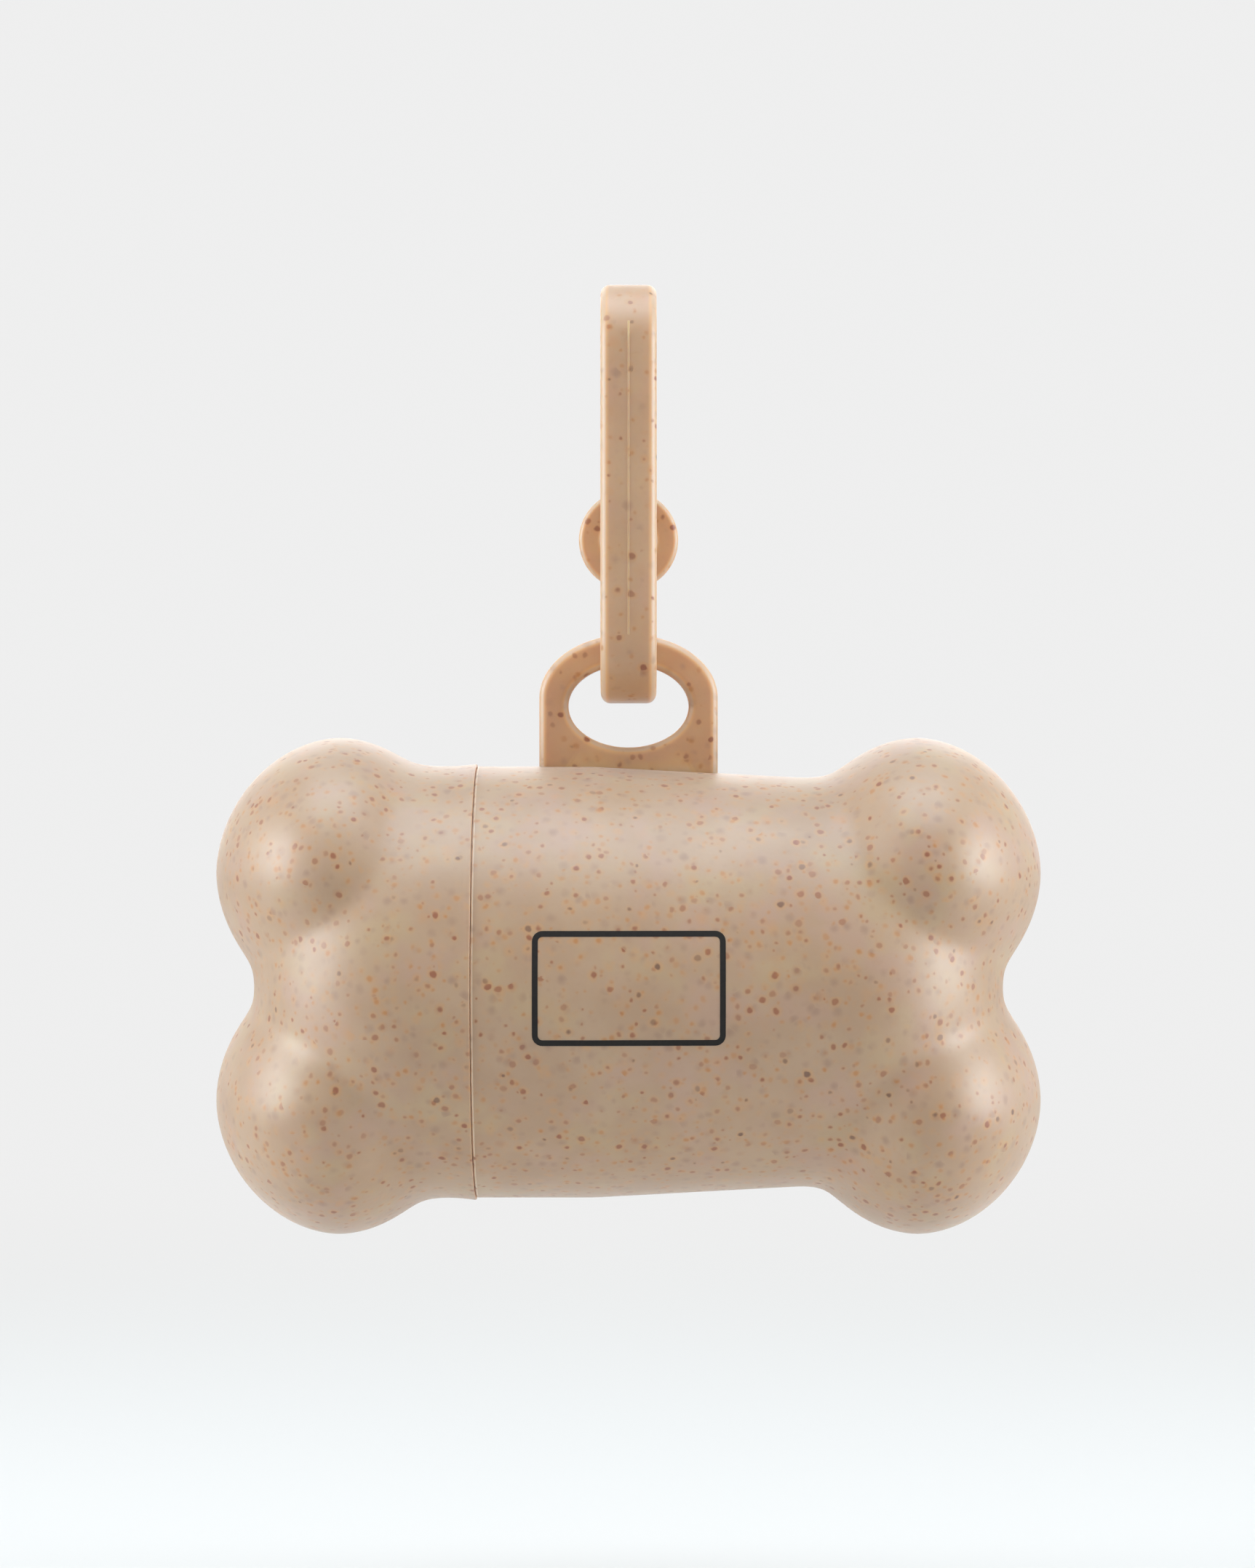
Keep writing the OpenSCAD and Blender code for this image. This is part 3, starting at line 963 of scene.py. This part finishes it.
def thumbRing():
    # a rounded section spun about Y
    bm = bmesh.new()
    half = clip["ringThickness"] / 2
    section = [
        bm.verts.new((radius, gateMiddle + side, 0))
        for radius, side in (
            (clip["ringHole"], -half),
            (clip["ringRadius"], -half),
            (clip["ringRadius"], half),
            (clip["ringHole"], half),
        )
    ]
    bm.faces.new(section)
    bmesh.ops.bevel(
        bm,
        geom=section,
        offset=clip["ringEdgeRound"],
        offset_type="OFFSET",
        affect="VERTICES",
        segments=clip["ringEdgeSegments"],
        profile=0.5,
        material=-1,
    )
    bmesh.ops.delete(bm, geom=bm.faces[:], context="FACES_ONLY")
    bmesh.ops.spin(
        bm,
        geom=bm.verts[:] + bm.edges[:],
        cent=(0, 0, 0),
        axis=(0, 1, 0),
        angle=2 * math.pi,
        steps=clip["ringSteps"],
        use_merge=True,
    )
    closeUp(bm)
    edgeShares(bm, 1)
    bmesh.ops.translate(bm, verts=bm.verts, vec=(0, 0, ringHeight))
    return bm


# The roll of bags on its cardboard core, and the bag end that hangs out of the slot.

roll = {
    "radius": 15.0,
    "length": 56.0,
    "coreRadius": 8.0,
    "coreWall": 0.8,
    "coreGap": 0.05,
    "drop": -2.9,
    "wraps": 14,
    "wrapStep": 0.16,
    "wrapRound": 0.2,
    "bellyRings": 29,
    "bellyStep": 0.04,
    "bellyShare": 0.992,
    "coreEdge": 0.12,
    "around": 128,
}
tail = {
    "exit": 19.55,
    "wrapRadius": 15.6,
    "out": 8.0,
    "travel": 11.0,
    "flatWidth": 26.0,
    "pleats": 8,
    "depthOut": 0.72,
    "depthIn": 0.2,
    "swell": 0.8,
    "overtone": 0.25,
    "curl": 0.8,
    "film": 0.06,
    "insideReach": 1.7,
    "leastWidth": 2.0,
    "halvings": 30,
    "across": 168,
    "along": 60,
}
# The sines that make its pleats uneven: height, turning across, turning along, start, in radians.
pleatWaves = {
    "drift": [(0.7, 9, 2.6, 0), (0.5, 0, 5, 4)],
    "crowding": [(0.035, 15, 0, 1.1)],
    "swell": [(0.35, 11, 2, 0.7)],
    "curl": [(0.3, 7, 0, 0)],
}


def spun(points, name, material, stands):
    # a closed profile of (x, radius) turned about the roll's axis
    bm = bmesh.new()
    verts = [bm.verts.new((x, radius, 0)) for x, radius in points]
    for first, second in zip(verts, verts[1:] + verts[:1]):
        bm.edges.new((first, second))
    bmesh.ops.spin(
        bm,
        geom=bm.verts[:] + bm.edges[:],
        cent=(0, 0, 0),
        axis=(1, 0, 0),
        angle=2 * math.pi,
        steps=roll["around"],
        use_merge=True,
    )
    closeUp(bm)
    bmesh.ops.translate(bm, verts=bm.verts, vec=(0, 0, axisHeight + roll["drop"]))
    return finishPiece(bm, name, "roll", material, stands)


def makeCore():
    half, outer = roll["length"] / 2, roll["coreRadius"]
    inner = outer - roll["coreWall"]
    edge = roll["coreEdge"]
    points = [
        (-half, inner + edge),
        (-half, outer - edge),
        (-half + edge, outer),
        (half - edge, outer),
        (half, outer - edge),
        (half, inner + edge),
        (half - edge, inner),
        (-half + edge, inner),
    ]
    return spun(points, "rollCore", cardboard, ["roll_core"])


def makeRoll():
    half, outer = roll["length"] / 2, roll["radius"]
    inner = roll["coreRadius"] + roll["coreGap"]
    radii = np.linspace(inner, outer - roll["wrapRound"], 2 * roll["wraps"] + 1)
    face = [(half - roll["wrapStep"] * (step % 2), radius) for step, radius in enumerate(radii)]
    shares = np.linspace(roll["bellyShare"], -roll["bellyShare"], roll["bellyRings"])
    belly = [(half * share, outer - roll["bellyStep"] * (step % 2)) for step, share in enumerate(shares)]
    points = face + belly + [(-x, radius) for x, radius in face[::-1]]
    return spun(points, "bagRoll", bagFilm, ["bag_roll"])


def waves(kind, share, along):
    total = 0
    for height, across, down, start in pleatWaves[kind]:
        total = total + height * np.sin(across * share + down * along + start)
    return total


def pleatRow(depth, along):
    # one row across the gathered film: its flat width, folded into pleats of this depth
    share = np.linspace(-0.5, 0.5, tail["across"] + 1)
    crowded = share + waves("crowding", share, along)
    turn = 2 * math.pi * tail["pleats"] * crowded + waves("drift", share, along)
    swell = tail["swell"] + waves("swell", share, along)
    lift = depth * swell * (np.sin(turn) + tail["overtone"] * np.sin(2 * turn + 1.3 + 3 * along))
    low, high = tail["leastWidth"], tail["flatWidth"]
    for halving in range(tail["halvings"]):
        width = (low + high) / 2
        long = np.hypot(np.diff(share * width), np.diff(lift)).sum() > tail["flatWidth"]
        low, high = (low, width) if long else (width, high)
    # the film's free quarter curls down
    curl = tail["curl"] * max(0, 4 * along - 3) ** 2 * (1 + waves("curl", share, along))
    return share * width, lift - curl


def makeTail():
    exitDistance = math.hypot(tail["exit"], roll["drop"])
    freeLength = math.sqrt(exitDistance**2 - tail["wrapRadius"] ** 2)
    pull = math.asin(tail["wrapRadius"] / exitDistance) - math.atan2(-roll["drop"], tail["exit"])
    length = tail["travel"] + freeLength + tail["out"]
    bm = bmesh.new()
    bmesh.ops.create_grid(bm, x_segments=tail["across"], y_segments=tail["along"], size=0.5)
    rows = []
    for step in range(tail["along"] + 1):
        inside = min(1.0, max(0.0, 1 - step / tail["along"] * tail["insideReach"]))
        depth = tail["depthOut"] + (tail["depthIn"] - tail["depthOut"]) * inside
        rows.append(pleatRow(depth, step / tail["along"]))
    for vert in bm.verts:
        column = round((vert.co.x + 0.5) * tail["across"])
        step = round((vert.co.y + 0.5) * tail["along"])
        x, lift = rows[step][0][column], rows[step][1][column]
        vert.co = Vector((x, tail["out"] - length * (1 - step / tail["along"]), lift))
    turn = Matrix.Rotation(-pull, 4, "X")
    place = Matrix.Translation((bagSlot["x"], tail["exit"], axisHeight))
    bmesh.ops.transform(bm, matrix=place @ turn, verts=bm.verts)
    piece = finishPiece(bm, "bagTail", "tail", bagFilm, ["bag_tail"])
    thick = piece.modifiers.new("film", "SOLIDIFY")
    thick.thickness = tail["film"] * mm
    thick.offset = 0
    return piece


# The printed border on the front.

printed = {
    "width": 17.95,
    "height": 10.66,
    "x": 0.03,
    "up": 0.25,
    "stroke": 0.54,
    "corner": 0.97,
    "ink": 0.05,
    "proud": 0.02,
    "cuts": 24,
    "cornerSegments": 8,
}


def makePrint():
    # a rounded frame, cut finely, laid on the neck and thickened
    bm = bmesh.new()
    half = (printed["width"] / 2, printed["height"] / 2)
    corners = [
        bm.verts.new((printed["x"] + right * half[0], 0, up * half[1]))
        for right, up in ((-1, -1), (1, -1), (1, 1), (-1, 1))
    ]
    bm.faces.new(corners)
    bmesh.ops.bevel(
        bm,
        geom=corners,
        offset=printed["corner"],
        offset_type="OFFSET",
        affect="VERTICES",
        segments=printed["cornerSegments"],
        profile=0.5,
        material=-1,
    )
    inside = bm.faces[:]
    bmesh.ops.inset_region(
        bm,
        faces=inside,
        thickness=printed["stroke"],
        use_even_offset=True,
        use_boundary=True,
    )
    bmesh.ops.delete(bm, geom=inside, context="FACES")
    for axis, reach, normal in ((0, half[0], (1, 0, 0)), (2, half[1], (0, 0, 1))):
        for share in np.linspace(-1, 1, printed["cuts"])[1:-1]:
            point = Vector((0, 0, 0))
            point[axis] = share * reach
            geom = bm.verts[:] + bm.edges[:] + bm.faces[:]
            bmesh.ops.bisect_plane(bm, geom=geom, plane_co=point, plane_no=normal)
    for vert in bm.verts:
        z = vert.co.z + printed["up"]
        radius = float(neckRadiusAt(vert.co.x)) + printed["proud"]
        vert.co = Vector((vert.co.x, -math.sqrt(radius**2 - z**2), axisHeight + z))
    bm.normal_update()
    for face in bm.faces:
        if face.normal.y > 0:
            face.normal_flip()
    bmesh.ops.solidify(bm, geom=bm.faces[:], thickness=printed["ink"])
    closeUp(bm)
    return finishPiece(bm, "printFrame", "housing", printInk)


makeBody()
makeCap()
makeTab()
makeClip()
makeGate()
makeCore()
makeRoll()
makeTail()
makePrint()
print("pieces ready")


# The room: a pale floor that fades into a pale surround, and soft studio lamps.

room = {
    "floorDrop": 40.0,
    "floorSize": 3000.0,
    "pale": color(0.86, 0.86, 0.86),
    "floorColor": color(0.74, 0.72, 0.69),
    "fadeFrom": 0.12,
    "fadeTo": 0.55,
    "ambient": 0.20,
}


def makeFloor():
    bm = bmesh.new()
    bmesh.ops.create_circle(bm, cap_ends=True, segments=96, radius=room["floorSize"])
    bmesh.ops.translate(bm, verts=bm.verts, vec=(0, 0, cadLow.z / mm - room["floorDrop"]))
    bmesh.ops.scale(bm, vec=(mm, mm, mm), verts=bm.verts)
    mesh = bpy.data.meshes.new("floor")
    bm.to_mesh(mesh)
    bm.free()
    finish = Finish("floorPaint", Base_Color=room["floorColor"], Roughness=0.9)
    distance = finish.vector("LENGTH", {0: finish.place}).out("Value")
    far = finish.ease(distance, room["fadeFrom"], room["fadeTo"])
    glow = finish.node("ShaderNodeEmission", {}, {"Color": room["pale"]})
    seen = finish.node("ShaderNodeLightPath").out("Is Camera Ray")
    paint = Wire(finish, finish.shader.outputs[0])
    surface = finish.node("ShaderNodeMixShader", {}, {0: far * seen, 1: paint, 2: glow})
    output = finish.tree.nodes["Material Output"]
    finish.tree.links.new(surface.socket, output.inputs["Surface"])
    mesh.materials.append(finish.material)
    floor = bpy.data.objects.new("floor", mesh)
    bpy.context.scene.collection.objects.link(floor)


def makeWorld():
    world = bpy.data.worlds.new("surround")
    bpy.context.scene.world = world
    world.use_nodes = True
    tree = world.node_tree
    lit = tree.nodes["Background"]
    lit.inputs["Color"].default_value = color(1, 1, 1)
    lit.inputs["Strength"].default_value = room["ambient"]
    shown = tree.nodes.new("ShaderNodeBackground")
    shown.inputs["Color"].default_value = room["pale"]
    path = tree.nodes.new("ShaderNodeLightPath")
    either = tree.nodes.new("ShaderNodeMath")
    either.operation = "MAXIMUM"
    mix = tree.nodes.new("ShaderNodeMixShader")
    tree.links.new(path.outputs["Is Camera Ray"], either.inputs[0])
    tree.links.new(path.outputs["Is Glossy Ray"], either.inputs[1])
    tree.links.new(either.outputs[0], mix.inputs[0])
    tree.links.new(lit.outputs[0], mix.inputs[1])
    tree.links.new(shown.outputs[0], mix.inputs[2])
    tree.links.new(mix.outputs[0], tree.nodes["World Output"].inputs["Surface"])


# Soft boxes: place in metres from the bone's middle, size in metres, power in watts.
lampCool = (0.88, 0.95, 1.0)
lamps = {
    "leftBox": {"at": (-0.48, -0.08, 0.13), "size": (0.28, 0.36), "power": 2.1, "color": lampCool},
    "rightBox": {"at": (0.48, -0.08, 0.11), "size": (0.28, 0.36), "power": 2.1, "color": lampCool},
    "topBox": {"at": (0, -0.06, 0.52), "size": (0.6, 0.4), "power": 2.6, "color": (0.79, 0.9, 1.0)},
    "lowFill": {"at": (0, -0.64, -0.76), "size": (0.9, 0.9), "power": 4.6, "color": (1.0, 0.76, 0.52)},
    "frontFill": {"at": (0, -1.0, 0.05), "size": (0.9, 0.9), "power": 0.95, "color": (1.0, 0.95, 0.88)},
    "backFill": {"at": (0, 0.7, 0.25), "size": (0.6, 0.5), "power": 2.0, "color": (1.0, 1.0, 1.0)},
}


def makeLamps():
    target = Vector((0, 0, axisHeight * mm))
    for name, lamp in lamps.items():
        light = bpy.data.lights.new(name, "AREA")
        light.shape = "RECTANGLE"
        light.size, light.size_y = lamp["size"]
        light.energy = lamp["power"]
        light.color = lamp["color"]
        holder = bpy.data.objects.new(name, light)
        holder.location = target + Vector(lamp["at"])
        holder.rotation_euler = (-Vector(lamp["at"])).to_track_quat("-Z", "Y").to_euler()
        holder.visible_camera = False
        bpy.context.scene.collection.objects.link(holder)


# Level and straight at the front, with its place in mm.
view = {"lens": 101.6, "sensor": 36.0, "at": (-0.1, -430.0, -45.2)}


def makeCamera():
    camera = bpy.data.cameras.new("camera")
    camera.lens = view["lens"]
    camera.sensor_width = view["sensor"]
    holder = bpy.data.objects.new("camera", camera)
    holder.location = Vector(view["at"]) * mm
    holder.rotation_euler = (math.pi / 2, 0, 0)
    bpy.context.scene.collection.objects.link(holder)
    bpy.context.scene.camera = holder


makeFloor()
makeWorld()
makeLamps()
makeCamera()
bpy.context.scene.view_settings.view_transform = "Standard"
print("room, lamps and camera ready")
